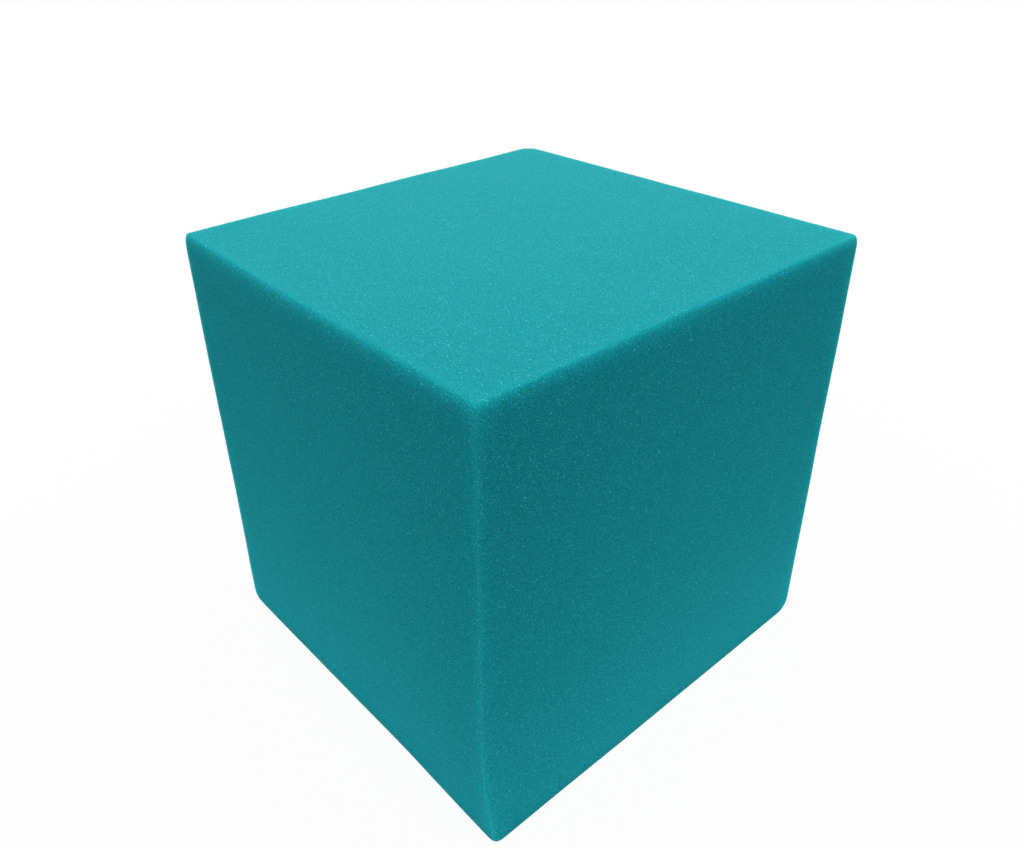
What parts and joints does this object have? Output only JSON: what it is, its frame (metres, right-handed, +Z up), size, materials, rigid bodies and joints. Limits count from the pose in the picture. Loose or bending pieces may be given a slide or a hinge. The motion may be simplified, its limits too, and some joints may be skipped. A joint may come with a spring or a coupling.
{
  "type": "foam block",
  "caption": "Cut block of soft open-cell foam with flat faces and softly rounded edges, used as packing, a spacer, a prop or a soft pit cube.",
  "frame": {"origin": "centre of the base, on the surface that the block rests on", "axes": "+Z up through the height, X along the width, Y along the depth, with the -Y and +X faces turned to the picture's camera"},
  "size_m": [0.196, 0.198, 0.2],
  "materials": {
    "teal_foam": "matte open-cell foam, dyed teal through, with fine cells and a few bright glints"
  },
  "bodies": {
    "root": {"foam_block": "teal_foam"}
  },
  "joints": []
}
